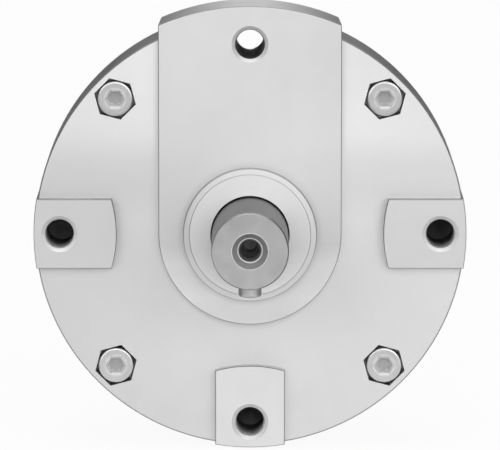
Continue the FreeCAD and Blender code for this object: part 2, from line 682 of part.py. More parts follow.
def ball_bearing(side, start):
    """Deep groove bearing: two rings, the balls between them and the cage that spaces the balls."""
    middle = f"{start} + bearing_width / 2"
    pitch = "(shaft_dia + bearing_dia) / 4"
    race = f"{BALL_DIA} / 2 + race_gap"
    inner_bore = "shaft_dia / 2 + seat_gap"
    outer_rim = "bearing_dia / 2 - seat_gap"
    outer = ring_body(f"{side}_bearing_outer_ring", f"bearing_dia / 2 - {RING_WALL}", outer_rim,
                      start, f"{start} + bearing_width")
    inner = ring_body(f"{side}_bearing_inner_ring", inner_bore, f"shaft_dia / 2 + {RING_WALL}",
                      start, f"{start} + bearing_width")
    for ring in (outer, inner):
        track = sketch_on(ring, "XY_Plane")
        circle(track, pitch, middle, race)
        feature(ring, "Groove", track, ReferenceAxis=(track, ["V_Axis"]), Angle=360.0)

    balls = new_body(f"{side}_bearing_balls")
    ball = balls.newObject("PartDesign::AdditiveSphere", "ball")
    ball.setExpression("Radius", bound(f"{BALL_DIA} / 2"))
    ball.setExpression("AttachmentOffset.Base.x", bound(pitch))
    ball.setExpression("AttachmentOffset.Base.y", bound(middle))
    ball.AttachmentSupport = [(origin(balls, "XY_Plane"), "")]
    ball.MapMode = "FlatFace"
    doc.recompute()
    around(balls, [ball], "ball_count")

    cage = ring_body(f"{side}_bearing_cage", f"{pitch} - {CAGE_WALL} / 2", f"{pitch} + {CAGE_WALL} / 2",
                     f"{middle} - {CAGE_WIDTH} / 2", f"{middle} + {CAGE_WIDTH} / 2")
    window = sketch_on(cage, "YZ_Plane", lift="bearing_dia / 2")
    circle(window, middle, "0", f"{BALL_DIA} / 2 + cage_gap")
    around(cage, [pocket(cage, window, "bearing_dia / 2 - shaft_dia / 4")], "ball_count")
    return [outer, inner, balls, cage]


def shaft_seal(label, start):
    bore = f"{CORE_RADIUS} + seal_gap"
    return ring_body(label, bore, "seal_dia / 2 - seat_gap", start, f"{start} + seal_width")


def retaining_ring(label, inner, outer):
    """Split ring in a groove behind the rear bearing, with its opening at the top."""
    body = ring_body(label, inner, outer, RING_START, f"{RING_START} + ring_thick - seat_gap")
    cut = sketch_on(body, "XZ_Plane", lift=f"-{RING_START}")
    outline(cut, box("-ring_opening / 2", "0", "ring_opening / 2", outer))
    pocket(body, cut, "ring_thick")
    return body


def stator_shoe():
    """Wedge that closes the chamber at the top. Its flanks carry the stop buffers and the air passages."""
    body = new_body("stator_shoe")
    foot = f"({HUB_RADIUS} + hub_gap)"
    crown = f"({CHAMBER_RADIUS} - seat_gap)"

    def flank_side(radius):
        return f"((sqrt(2 * {radius}^2 - 2 * {FLANK}^2) - {FLANK} * sqrt(2)) / 2)"

    def flank_rise(radius):
        return f"({flank_side(radius)} + {FLANK} * sqrt(2))"

    wedge = sketch_on(body, "XZ_Plane", lift=f"-{CHAMBER_FRONT}")
    outline(wedge, [
        (f"-{flank_side(foot)}", flank_rise(foot), "0", "over"),
        (flank_side(foot), flank_rise(foot)),
        (flank_side(crown), flank_rise(crown), "0", "over"),
        (f"-{flank_side(crown)}", flank_rise(crown)),
    ])
    pad(body, wedge, "chamber_length", Reversed=True)

    nest = sketch_on(body, "XY_Plane", lift=f"{FLANK} / sqrt(2)", side=f"-{FLANK} / sqrt(2)",
                     turn=FLANK_TURN)
    circle(nest, f"-({BUFFER_PLACE})", f"{CHAMBER_FRONT} + buffer_station", "buffer_dia / 2 + seat_gap")
    mirrored(body, [pocket(body, nest, "buffer_seat")])

    pocket(body, port_sketch(body, "passage_dia / 2"), PORT_FACE)

    groove = sketch_on(body, "XZ_Plane", lift=f"-{CHAMBER_FRONT}")
    outline(groove, box("-lip_thick / 2", "0", "lip_thick / 2", f"{foot} + lip_depth"))
    pocket(body, groove, "chamber_length")
    pins = sketch_on(body, "XZ_Plane", lift=f"-{CHAMBER_FRONT}")
    for rise in DOWEL_PLACES:
        circle(pins, "0", rise, "dowel_dia / 2 + seat_gap")
    pocket(body, pins, "chamber_length")
    return body


def stator_seal():
    """Strip in the foot of the stator shoe that wipes the vane hub."""
    body = new_body("stator_seal")
    strip = sketch_on(body, "XZ_Plane", lift=f"-{CHAMBER_FRONT}")
    half = "(lip_thick / 2 - seat_gap)"
    top = f"{HUB_RADIUS} + hub_gap + lip_depth - seat_gap"
    run = f"({HUB_RADIUS} + lip_run)"
    outline(strip, [
        (f"-{half}", chord(run, half), "0", "over"),
        (half, chord(run, half)),
        (half, top),
        (f"-{half}", top),
    ])
    pad(body, strip, "chamber_length", Reversed=True)
    return body


def stop_buffers():
    """Two rubber discs in the flanks of the stator shoe."""
    body = new_body("stop_buffers")
    floor = f"({FLANK} + buffer_seat)"
    disc = sketch_on(body, "XY_Plane", lift=f"{floor} / sqrt(2)", side=f"-{floor} / sqrt(2)",
                     turn=FLANK_TURN)
    circle(disc, f"-({BUFFER_PLACE})", f"{CHAMBER_FRONT} + buffer_station", "buffer_dia / 2")
    mirrored(body, [pad(body, disc, "buffer_seat + buffer_proud")])
    return body


def stator_dowels():
    body = new_body("stator_dowels")
    pins = sketch_on(body, "XZ_Plane", lift=f"-({CHAMBER_FRONT} - dowel_hold)")
    for rise in DOWEL_PLACES:
        circle(pins, "0", rise, "dowel_dia / 2")
    pad(body, pins, "chamber_length + 2 * dowel_hold", Reversed=True)
    return body


def drive_shaft():
    body = new_body("drive_shaft")
    bore = "centre_bore_dia / 2"
    pilot = "centre_pilot_dia / 2"
    ring_seat = "shaft_dia / 2 - shaft_ring_groove"
    ledge = f"({SHAFT_TIP} + (centre_rim_dia - centre_neck_dia) / 2 * sqrt(3))"
    revolve(body, [
        ("0", f"{SHAFT_TIP} + centre_depth + {pilot} / sqrt(3)"),
        (pilot, f"{SHAFT_TIP} + centre_depth"),
        (pilot, f"{ledge} + centre_bore_depth"),
        (bore, f"{ledge} + centre_bore_depth"),
        (bore, ledge),
        ("centre_neck_dia / 2", ledge),
        ("centre_rim_dia / 2", SHAFT_TIP),
        ("shaft_dia / 2 - tip_chamfer", SHAFT_TIP),
        ("shaft_dia / 2", f"{SHAFT_TIP} + tip_chamfer"),
        ("shaft_dia / 2", "bearing_width"),
        (CORE_RADIUS, "bearing_width"),
        (CORE_RADIUS, REAR_BEARING),
        ("shaft_dia / 2", REAR_BEARING),
        ("shaft_dia / 2", RING_START),
        (ring_seat, RING_START),
        (ring_seat, f"{RING_START} + ring_thick"),
        ("shaft_dia / 2", f"{RING_START} + ring_thick"),
        ("shaft_dia / 2", f"{CAP_START} - cap_gap"),
        ("stub_dia / 2", f"{CAP_START} - cap_gap"),
        ("stub_dia / 2", f"{STUB_END} - tip_chamfer"),
        ("stub_dia / 2 - tip_chamfer", STUB_END),
        ("0", STUB_END),
    ])
    keyway = sketch_on(body, "XY_Plane", lift="key_seat - shaft_dia / 2")
    outline(keyway, slot("key_width", KEY_FRONT, KEY_BACK))
    pocket(body, keyway, "key_seat")
    hub_keyway = sketch_on(body, "XY_Plane", lift=f"hub_key_seat - {CORE_RADIUS}")
    front, back = hub_key_ends()
    outline(hub_keyway, slot("hub_key_width", front, back))
    pocket(body, hub_keyway, "hub_key_seat")
    flats = sketch_on(body, "XZ_Plane", lift=f"-{BOSS_END}")
    for way in ("", "-"):
        outline(flats, box("-stub_dia / 2", f"{way}stub_flats / 2", "stub_dia / 2", f"{way}stub_dia / 2"))
    pocket(body, flats, "stub_length")
    return body


def feather_key():
    body = new_body("feather_key")
    sketch = sketch_on(body, "XY_Plane", lift="key_seat - shaft_dia / 2")
    front = f"({KEY_FRONT} + seat_gap)"
    back = f"({KEY_BACK} - seat_gap)"
    outline(sketch, slot("(key_width - 2 * seat_gap)", front, back))
    pad(body, sketch, "key_height", Reversed=True)
    top = value("key_seat - shaft_dia / 2 - key_height")
    round_edges(body, "key_round", lambda edge: edge.BoundBox.ZMax < top + NEAR)
    return body


def hub_key_ends():
    middle = f"({CHAMBER_FRONT} + chamber_length / 2)"
    return f"({middle} - hub_key_length / 2)", f"({middle} + hub_key_length / 2)"


def vane_key():
    body = new_body("vane_key")
    front, back = hub_key_ends()
    sketch = sketch_on(body, "XY_Plane", lift=f"hub_key_seat - {CORE_RADIUS}")
    outline(sketch, slot("(hub_key_width - 2 * seat_gap)", f"({front} + seat_gap)", f"({back} - seat_gap)"))
    pad(body, sketch, "hub_key_height", Reversed=True)
    return body


def vane():
    """Hub with one blade, keyed to the shaft. The blade hangs straight down at mid swing."""
    front = f"({CHAMBER_FRONT} + end_gap)"
    back = f"({CHAMBER_BACK} - end_gap)"
    tip = f"({CHAMBER_RADIUS} - tip_gap)"
    half = "vane_thick / 2"
    root = f"({CORE_RADIUS} + {HUB_RADIUS}) / 2"
    body = ring_body("vane", f"{CORE_RADIUS} + seat_gap", HUB_RADIUS, front, back)
    blade = sketch_on(body, "XZ_Plane", lift=f"-{front}")
    outline(blade, [
        (f"-{half}", f"-{root}"),
        (half, f"-{root}"),
        (half, f"-{chord(tip, half)}", "0", "under"),
        (f"-{half}", f"-{chord(tip, half)}"),
    ])
    pad(body, blade, f"{back} - {front}", Reversed=True)
    strip = sketch_on(body, "YZ_Plane")
    outline(strip, u_strip(HUB_RADIUS, CHAMBER_RADIUS, CHAMBER_FRONT, CHAMBER_BACK, "lip_depth + end_gap"))
    pocket(body, strip, "lip_thick", SideType="Symmetric")
    keyway = sketch_on(body, "XY_Plane")
    key_front, key_back = hub_key_ends()
    outline(keyway, slot("hub_key_width", key_front, key_back))
    pocket(body, keyway, f"{CORE_RADIUS} - hub_key_seat + hub_key_height + seat_gap")
    return body


def vane_seal():
    """U shaped strip round the blade, which wipes both end walls and the round wall of the chamber."""
    body = new_body("vane_seal")
    strip = sketch_on(body, "YZ_Plane")
    outline(strip, u_strip(HUB_RADIUS, f"{CHAMBER_RADIUS} - lip_run", f"{CHAMBER_FRONT} + lip_run",
                           f"{CHAMBER_BACK} - lip_run", "lip_depth + end_gap - lip_run - seat_gap"))
    pad(body, strip, "lip_thick - 2 * seat_gap", SideType="Symmetric")
    return body


def build_all():
    stub_bore = "stub_dia / 2 + cap_gap"
    shaft_bore = "shaft_dia / 2 + cap_gap"
    nodes = [front_housing(), rear_housing(), housing_gasket(), housing_screws(), housing_nuts()]
    nodes.append(bearing_cap("front_bearing_cap", shaft_bore, "-collar_height", "0", "front"))
    nodes.append(bearing_cap("rear_bearing_cap", stub_bore, CAP_START, BOSS_END, "back"))
    nodes.extend(ball_bearing("front", "0"))
    nodes.extend(ball_bearing("rear", REAR_BEARING))
    nodes.append(shaft_seal("front_shaft_seal", "(bearing_width + lip_width)"))
    nodes.append(shaft_seal("rear_shaft_seal", CHAMBER_BACK))
    nodes.append(retaining_ring("bore_retaining_ring", "bearing_dia / 2 - bore_ring_wall",
                                "bearing_dia / 2 + bore_ring_groove - seat_gap"))
    nodes.append(retaining_ring("shaft_retaining_ring", "shaft_dia / 2 - shaft_ring_groove + seat_gap",
                                "shaft_dia / 2 + shaft_ring_wall"))
    nodes.extend([stator_shoe(), stator_seal(), stop_buffers(), stator_dowels()])
    nodes.extend([drive_shaft(), feather_key(), vane(), vane_key(), vane_seal()])
    return nodes


nodes = build_all()
doc.recompute()
failed = [item.Label for item in doc.Objects if {"Invalid", "Error"} & set(item.State)]
if failed:
    raise RuntimeError(f"objects that failed: {failed}")
for node in nodes:
    if node.Shape.isNull() or not node.Shape.isValid():
        raise RuntimeError(f"{node.Label}: the shape is not valid")
os.makedirs("parts", exist_ok=True)
for node in nodes:
    node.Shape.exportStep(f"parts/{node.Label}.step")
    print(node.Label, len(node.Shape.Solids), round(node.Shape.Volume, 2))
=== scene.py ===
"""Looks of a vane type rotary actuator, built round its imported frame. Lengths are in metres."""
import json
import math

import bmesh
import bpy
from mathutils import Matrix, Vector


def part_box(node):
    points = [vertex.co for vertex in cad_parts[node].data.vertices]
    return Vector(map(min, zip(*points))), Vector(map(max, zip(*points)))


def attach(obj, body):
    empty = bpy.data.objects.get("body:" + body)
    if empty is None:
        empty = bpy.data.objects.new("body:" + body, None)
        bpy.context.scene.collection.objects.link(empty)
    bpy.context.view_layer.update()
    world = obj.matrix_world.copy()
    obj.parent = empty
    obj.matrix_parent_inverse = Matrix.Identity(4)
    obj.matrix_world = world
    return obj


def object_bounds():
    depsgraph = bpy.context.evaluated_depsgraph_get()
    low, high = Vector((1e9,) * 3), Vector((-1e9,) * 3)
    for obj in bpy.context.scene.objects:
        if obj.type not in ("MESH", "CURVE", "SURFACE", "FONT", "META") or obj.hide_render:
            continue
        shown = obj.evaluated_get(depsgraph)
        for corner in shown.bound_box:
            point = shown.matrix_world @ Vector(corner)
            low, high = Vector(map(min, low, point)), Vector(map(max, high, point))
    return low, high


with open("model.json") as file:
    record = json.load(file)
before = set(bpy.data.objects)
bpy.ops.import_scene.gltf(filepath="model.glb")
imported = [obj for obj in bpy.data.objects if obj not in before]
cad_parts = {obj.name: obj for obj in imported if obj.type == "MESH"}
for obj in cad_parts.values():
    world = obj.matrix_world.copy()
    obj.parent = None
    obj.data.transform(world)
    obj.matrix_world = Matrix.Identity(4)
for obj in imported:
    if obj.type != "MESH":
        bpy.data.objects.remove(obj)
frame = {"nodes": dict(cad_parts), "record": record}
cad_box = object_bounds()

# Front housing. A pressure casting in aluminium with a disc, a tongue, three pads and a collar on its front.
# They are faced on a lathe and blasted to a fine satin grain, and much of their tone is painted shade and
# painted light. Four tapped holes, whose cut leads have a painted highlight below, take the screws that fix
# the body to a machine.


def grey(tone):
    return (tone, tone, tone, 1)


BLACK = grey(0)
CAST_GREY = grey(0.78)
CAST_LIGHT = grey(0.8)
DISC_LIGHT = grey(0.81)
PAINTED_LIGHT = grey(0.96)
PAINTED_EDGE_SHADE = grey(0.28)
RIM_SHADE = grey(0.33)
WALL_SHADE = grey(0.7)
CROWN_END_SHADE = grey(0.28)
PAD_WALL_SHADE = grey(0.29)
COLLAR_HIGHLIGHT = grey(0.8)
COLLAR_LINE_SHADE = grey(0.42)
LEAD_GREY = grey(0.59)
LEAD_HIGHLIGHT = grey(0.87)
BORE_SHADE = grey(0.2)
LEAD_METALLIC = 0.5
CAST_CLOUD = 45
SHARP = 0.0001
SOFT = 0.001
EDGE_BREAK = 0.0002
DISC_FACE = 0.003
DISC_RADIUS = 0.0565
DISC_BREAK = 0.00035
TONGUE_HALF = 0.026
TONGUE_FOOT = -0.026
PAD_FROM = 0.03
COLLAR_FACE = -0.0019
COLLAR_RADIUS = 0.0175
COLLAR_LIP = 0.00005
HOLE_LEAD = 0.0009
HOLE_EDGE = 0.00006
# Lines and patches of painted shade and painted light: where each starts and ends, and for some how wide
# the soft ends are.
EDGE_LINE = (EDGE_BREAK * 0.15, EDGE_BREAK * 0.9, EDGE_BREAK * 0.1)
RIM_LINE = (DISC_RADIUS - DISC_BREAK, DISC_RADIUS + SHARP, 0.00003)
RIM_DEPTH = (DISC_FACE, DISC_FACE + DISC_BREAK * 0.1)
PAD_WALL_DEPTH = (EDGE_BREAK * 1.5, DISC_FACE - SHARP * 2, SHARP)
PROUD_RADIUS = (DISC_RADIUS + 0.00013, DISC_RADIUS + 0.00016)
PROUD_DEPTH = (EDGE_BREAK, EDGE_BREAK * 1.1)
CROWN_ENDS = (0.004, 0.0245)
CROWN_FOOT = (0.03, 0.035)
COLLAR_LINE = (COLLAR_RADIUS - COLLAR_LIP * 3, COLLAR_RADIUS + COLLAR_LIP, COLLAR_LIP)
TONGUE_GLEAM = (-0.017, -0.008, 0.005)
TONGUE_GLEAM_SHARE = 0.38
DISC_BAND = (0.012, 0.018, 0.008)
DISC_BAND_SHARE = 0.08
# Slow changes of painted shade and painted light over the faces: where each starts and ends, and for some
# how strong it is.
COLLAR_SHADE = (COLLAR_RADIUS, COLLAR_RADIUS + 0.002, 0.15)
COLLAR_GLEAM = (-COLLAR_RADIUS, -COLLAR_RADIUS / 3, 0.8)
DISC_LOW = (-0.05, -0.002, 0.21)
DISC_LEFT = (0, 0.03, 0.11)
DISC_TOP = (0.014, 0.026)
PAD_LOW = (-DISC_RADIUS, DISC_RADIUS, 0.17)
PAD_LEFT = 0.04
TONGUE_PAINTED_SHADE = 0.115
TOP_RIGHT_ACROSS = (-0.02, 0.03, 0.085)
TOP_RIGHT_LEVEL = (0.025, 0.045)
LIT_DEPTH = (HOLE_LEAD, 0.012)
LIT_LEVEL = (0.02, 0.03)


class Nodes:
    """A tree of shader nodes, with short ways to add to it."""

    def __init__(self, tree):
        self.tree = tree

    def node(self, kind, **settings):
        made = self.tree.nodes.new(kind)
        for name, setting in settings.items():
            setattr(made, name, setting)
        return made

    def link(self, start, end):
        self.tree.links.new(start, end)

    def math(self, operation, *terms):
        step = self.node("ShaderNodeMath", operation=operation)
        for socket, term in zip(step.inputs, terms):
            if isinstance(term, (int, float)):
                socket.default_value = term
            else:
                self.link(term, socket)
        return step.outputs["Value"]

    def ramp(self, amount, low, high, start, end, kind="LINEAR"):
        """An amount carried from one range to another and kept inside it."""
        span = self.node("ShaderNodeMapRange", interpolation_type=kind)
        for name, limit in (("From Min", low), ("From Max", high), ("To Min", start), ("To Max", end)):
            span.inputs[name].default_value = limit
        self.link(amount, span.inputs["Value"])
        return span.outputs["Result"]

    def rise(self, amount, low, high, most=1):
        """Nothing up to low, then more and more up to high."""
        return self.ramp(amount, low, high, 0, most)

    def fall(self, amount, low, high, most=1, kind="LINEAR"):
        """The most up to low, then less and less, down to nothing at high."""
        return self.ramp(amount, low, high, most, 0, kind)

    def product(self, first, *others):
        """Amounts multiplied, so that the result is full only where all of them are."""
        for other in others:
            first = self.math("MULTIPLY", first, other)
        return first

    def total(self, first, *others):
        for other in others:
            first = self.math("ADD", first, other)
        return first

    def between(self, amount, low, high, soft):
        """One inside a range and nothing outside it, over soft ends."""
        return self.product(self.rise(amount, low - soft, low), self.fall(amount, high, high + soft))

    def blend(self, first, second, share):
        """The first value carried over to the second by a share."""
        return self.math("MULTIPLY_ADD", self.math("SUBTRACT", second, first), share, first)

    def length(self, first, second):
        return self.math("SQRT", self.total(self.product(first, first), self.product(second, second)))

    def axes(self, vector):
        """The three parts of a vector: across, along the shaft and up."""
        split = self.node("ShaderNodeSeparateXYZ")
        self.link(vector, split.inputs["Vector"])
        return tuple(split.outputs)


class Finish(Nodes):
    """A material of one surface finish. A point of it lies across, along the shaft and at a level, and at a
    radius from the shaft axis."""

    def __init__(self, name, metallic, roughness):
        self.material = bpy.data.materials.new(name)
        self.material.use_nodes = True
        super().__init__(self.material.node_tree)
        self.shader = self.tree.nodes["Principled BSDF"]
        self.shader.inputs["Metallic"].default_value = metallic
        self.shader.inputs["Roughness"].default_value = roughness
        self.place = self.node("ShaderNodeTexCoord").outputs["Object"]
        self.across, self.along, self.level = self.axes(self.place)
        self.radius = self.length(self.across, self.level)

    def noise(self, scale, detail=2, stretch=(1, 1, 1)):
        """A cloud of the given number of grains to a metre, stretched along the axes of the frame."""
        spread = self.node("ShaderNodeMapping")
        spread.inputs["Scale"].default_value = stretch
        self.link(self.place, spread.inputs["Vector"])
        cloud = self.node("ShaderNodeTexNoise")
        cloud.inputs["Scale"].default_value = scale
        cloud.inputs["Detail"].default_value = detail
        self.link(spread.outputs["Vector"], cloud.inputs["Vector"])
        return cloud.outputs["Fac"]

    def rings(self, scale, detail=2):
        """Rings of uneven tone about the shaft axis, so many to a metre, as a lathe tool leaves them."""
        bands = self.node("ShaderNodeTexNoise", noise_dimensions="1D")
        bands.inputs["Scale"].default_value = scale
        bands.inputs["Detail"].default_value = detail
        self.link(self.radius, bands.inputs["W"])
        return bands.outputs["Fac"]

    def tones(self, cloud, dark, light, low=0.35, high=0.65):
        """Colour between two tones."""
        ramp = self.node("ShaderNodeValToRGB")
        ramp.color_ramp.elements[0].position = low
        ramp.color_ramp.elements[1].position = high
        ramp.color_ramp.elements[0].color = dark
        ramp.color_ramp.elements[1].color = light
        self.link(cloud, ramp.inputs["Fac"])
        self.link(ramp.outputs["Color"], self.shader.inputs["Base Color"])

    def tint(self, colour, *shares):
        """Lay a colour over the tones by the product of shares."""
        mix = self.node("ShaderNodeMix", data_type="RGBA")
        mix.inputs["B"].default_value = colour
        base = self.shader.inputs["Base Color"]
        self.link(self.product(*shares), mix.inputs["Factor"])
        self.link(base.links[0].from_socket, mix.inputs["A"])
        self.link(mix.outputs["Result"], base)

    def gloss(self, cloud, smooth, rough, low=0.3, high=0.7):
        """Roughness between two values."""
        self.link(self.ramp(cloud, low, high, smooth, rough), self.shader.inputs["Roughness"])

    def metal(self, amount, low, high, start, end):
        """Metallic carried from one value to another, so that cut and shaded places look duller."""
        self.link(self.ramp(amount, low, high, start, end), self.shader.inputs["Metallic"])

    def relief(self, height, depth, strength=0.3, edge=0):
        """Fine bumps of a depth in metres, over edges that are rounded by a radius in metres."""
        bump = self.node("ShaderNodeBump")
        bump.inputs["Strength"].default_value = strength
        bump.inputs["Distance"].default_value = depth
        self.link(height, bump.inputs["Height"])
        if edge:
            soft = self.node("ShaderNodeBevel", samples=6)
            soft.inputs["Radius"].default_value = edge
            self.link(soft.outputs["Normal"], bump.inputs["Normal"])
        self.link(bump.outputs["Normal"], self.shader.inputs["Normal"])

    def corners(self, *shares, reach, darkest=0.95, closed=0.08, opened=0.5):
        """Paint shade into slits and inner angles, where an ambient occlusion node finds them closed, within
        a reach in metres.
        """
        hollow = self.node("ShaderNodeAmbientOcclusion", samples=8)
        hollow.inputs["Distance"].default_value = reach
        self.tint(BLACK, self.fall(hollow.outputs["AO"], closed, opened, darkest), *shares)

    def turned(self, stretch, lean=0.02):
        """Gloss that spreads across the rings of a lathe tool: outward on faces, along the axis on rounds."""
        spread = self.node("ShaderNodeVectorMath", operation="MULTIPLY_ADD")
        spread.inputs[1].default_value = (1, 0, 1)
        spread.inputs[2].default_value = (0, lean, 0)
        self.link(self.place, spread.inputs[0])
        self.shader.inputs["Anisotropic"].default_value = stretch
        self.link(spread.outputs["Vector"], self.shader.inputs["Tangent"])

    def put_on(self, *names):
        for name in names:
            self.put_on_mesh(frame["nodes"][name].data)

    def put_on_mesh(self, mesh):
        mesh.materials.clear()
        mesh.materials.append(self.material)


mounts = {mount["name"]: mount for mount in frame["record"]["mounts"]}
hole_circle = mounts["front_flange"]["dims"]["pcd_mm"] / 2000
hole_radius = mounts["front_flange"]["dims"]["hole_r_mm"] / 1000
lead_edge = hole_radius + HOLE_LEAD
cast = Finish("faced_casting", metallic=1, roughness=0.52)
cast.tones(cast.noise(CAST_CLOUD, detail=4), CAST_GREY, CAST_LIGHT)
cast.gloss(cast.noise(CAST_CLOUD * 3, detail=3), smooth=0.49, rough=0.57)
cast.relief(cast.noise(scale=2600), depth=0.00003, strength=0.35)
cast.turned(stretch=0.45)
# Painted shade in the slits and inner angles of the casting.
cast.corners(reach=0.0008)
# Where a point lies: on the raised faces, on the tongue, and how far from the nearest hole.
sideways = cast.math("ABSOLUTE", cast.across)
upward = cast.math("ABSOLUTE", cast.level)
outward = cast.math("SUBTRACT", cast.math("MAXIMUM", sideways, upward), hole_circle)
from_hole = cast.length(outward, cast.math("MINIMUM", sideways, upward))
upright = cast.product(cast.math("GREATER_THAN", upward, sideways), cast.math("SIGN", cast.level))
above_hole = cast.math("SUBTRACT", cast.level, cast.product(upright, hole_circle))
raised = cast.fall(cast.along, DISC_FACE - SHARP, DISC_FACE)
tongue = cast.product(cast.fall(sideways, TONGUE_HALF, TONGUE_HALF + SOFT),
                      cast.rise(cast.level, TONGUE_FOOT, TONGUE_FOOT + SOFT))
leftward = cast.fall(cast.across, -DISC_RADIUS, DISC_RADIUS)
# Tones of the faces, mostly painted shade and painted light: the disc, the pads, the tongue and the collar.
painted_disc_shade = cast.total(cast.product(leftward, cast.fall(cast.level, *DISC_LEFT)),
                       cast.fall(cast.level, *DISC_LOW),
                       cast.product(cast.between(cast.level, *DISC_BAND), DISC_BAND_SHARE))
painted_pad_shade = cast.total(cast.product(leftward, PAD_LEFT), cast.fall(cast.level, *PAD_LOW))
painted_face_shade = cast.blend(painted_disc_shade, cast.blend(painted_pad_shade, TONGUE_PAINTED_SHADE, tongue), raised)
top_right_painted_shade = cast.product(cast.rise(cast.across, *TOP_RIGHT_ACROSS), cast.rise(cast.level, *TOP_RIGHT_LEVEL))
cast.tint(DISC_LIGHT, cast.rise(cast.along, DISC_FACE - SHARP, DISC_FACE))
# Painted shade on the upper disc, next to the walls that stand from it.
cast.corners(cast.rise(cast.level, *DISC_TOP), reach=0.0018, darkest=0.15, closed=0.5, opened=0.95)
# Painted shade over the faces, darker to the left, towards the bottom and at the top right.
cast.tint(BLACK, cast.total(painted_face_shade, top_right_painted_shade))
# Painted light on the tongue, in a band below the collar.
cast.tint(PAINTED_LIGHT, cast.between(cast.level, *TONGUE_GLEAM), tongue, raised, TONGUE_GLEAM_SHARE)
# Painted highlight on the end face of the collar, fading out to the left.
cast.tint(COLLAR_HIGHLIGHT, cast.fall(cast.along, COLLAR_FACE, COLLAR_FACE + SHARP),
          cast.rise(cast.across, *COLLAR_GLEAM))
# Painted shade on the walls and edges: the pads, the rim of the disc, the crown proud of it and the collar.
cast.tint(PAD_WALL_SHADE, cast.between(cast.along, *PAD_WALL_DEPTH), cast.rise(sideways, PAD_FROM, PAD_FROM + SOFT),
          cast.fall(cast.radius, DISC_RADIUS, DISC_RADIUS + SHARP))
cast.tint(PAINTED_EDGE_SHADE, cast.between(cast.along, *EDGE_LINE))
cast.tint(RIM_SHADE, cast.between(cast.radius, *RIM_LINE), cast.rise(cast.along, *RIM_DEPTH))
proud = cast.product(cast.rise(cast.radius, *PROUD_RADIUS), cast.rise(cast.along, *PROUD_DEPTH))
crown_end = cast.math("MAXIMUM", cast.rise(sideways, *CROWN_ENDS), cast.fall(cast.level, *CROWN_FOOT))
cast.tint(WALL_SHADE, proud)
cast.tint(CROWN_END_SHADE, proud, crown_end)
cast.tint(COLLAR_LINE_SHADE, cast.between(cast.radius, *COLLAR_LINE))
cast.tint(PAINTED_EDGE_SHADE, cast.fall(cast.radius, *COLLAR_SHADE, "SMOOTHSTEP"),
          cast.rise(cast.radius, COLLAR_RADIUS - COLLAR_LIP, COLLAR_RADIUS))
# Tones of the holes: a cut lead with a painted highlight below, and a bore painted dark as shade, with
# painted light at the mouth if it is blind.
lead = cast.fall(from_hole, lead_edge - HOLE_EDGE, lead_edge)
in_hole = cast.fall(from_hole, hole_radius, hole_radius + HOLE_EDGE)
cast.tint(LEAD_GREY, lead)
cast.tint(LEAD_HIGHLIGHT, lead, cast.fall(above_hole, -lead_edge, lead_edge))
cast.metal(from_hole, lead_edge - HOLE_EDGE, lead_edge, LEAD_METALLIC, 1)
cast.tint(BORE_SHADE, in_hole)
cast.tint(PAINTED_LIGHT, in_hole, cast.fall(cast.along, *LIT_DEPTH), cast.fall(cast.level, *LIT_LEVEL))
cast.put_on("front_housing")

# Threads of the mounting holes. They are cut in the casting with a tap, and the top one goes right through.
# Each is a helical ridge that stands in from the wall of its hole.
TAPPED_SHADE_DARK = grey(0.26)
TAPPED_SHADE_GREY = grey(0.34)
TAPPED_LIT = 0.9
TAP_PITCH = 0.00125
TAP_RIDGE = 0.00025
BLIND_DEPTH = 0.018
THREAD_STEPS = 40
# Shares of the pitch: half a crest, half a root, and how deep the root is sunk in the wall.
CREST_SHARE = 0.07
ROOT_SHARE = 0.44
SUNK_SHARE = 0.02


def helical_ridge(name, start, axis, length, root, height, pitch, finish):
    """A closed ridge of thread along an axis, standing in by its height from a wall of the root radius."""
    mesh = bmesh.new()
    turn = Vector((0, 0, 1)).rotation_difference(Vector(axis)).to_matrix()
    crest = root - height
    crest_half = pitch * CREST_SHARE
    root_half = pitch * ROOT_SHARE
    sunk = root + pitch * SUNK_SHARE
    profile = [(sunk, -root_half), (crest, -crest_half), (crest, crest_half), (sunk, root_half)]
    steps = int((length - 2 * root_half) / pitch * THREAD_STEPS)
    rings = []
    for step in range(steps + 1):
        angle = step / THREAD_STEPS * math.tau
        rise = root_half + step / THREAD_STEPS * pitch
        ring = [Vector((radius * math.cos(angle), radius * math.sin(angle), rise + along))
                for radius, along in profile]
        rings.append([mesh.verts.new(Vector(start) + turn @ point) for point in ring])
    count = len(profile)
    for first, second in zip(rings, rings[1:]):
        for side in range(count):
            after = (side + 1) % count
            mesh.faces.new((first[side], first[after], second[after], second[side]))
    mesh.faces.new(list(reversed(rings[0])))
    mesh.faces.new(rings[-1])
    bmesh.ops.recalc_face_normals(mesh, faces=mesh.faces)
    data = bpy.data.meshes.new(name)
    mesh.to_mesh(data)
    mesh.free()
    finish.put_on_mesh(data)
    thread = bpy.data.objects.new(name, data)
    bpy.context.scene.collection.objects.link(thread)
    return thread


tapped = Finish("tapped_aluminium", metallic=1, roughness=0.35)
# The threads are painted dark as shade inside their holes, with painted light near the mouths of the blind
# ones.
tapped.tones(tapped.noise(scale=900), TAPPED_SHADE_DARK, TAPPED_SHADE_GREY)
tapped.tint(PAINTED_LIGHT, tapped.fall(tapped.along, *LIT_DEPTH, TAPPED_LIT),
            tapped.fall(tapped.level, *LIT_LEVEL))
tapped.relief(tapped.noise(scale=4000), depth=0.00001)
casting_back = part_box("front_housing")[1].y
for quarter, name in enumerate(("right", "top", "left", "bottom")):
    angle = quarter * math.pi / 2
    end = casting_back if name == "top" else BLIND_DEPTH
    foot = (hole_circle * math.cos(angle), HOLE_LEAD, hole_circle * math.sin(angle))
    thread = helical_ridge(f"mounting_thread_{name}", foot, (0, 1, 0), end - HOLE_LEAD, hole_radius,
                           TAP_RIDGE, TAP_PITCH, tapped)
    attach(thread, "housing")

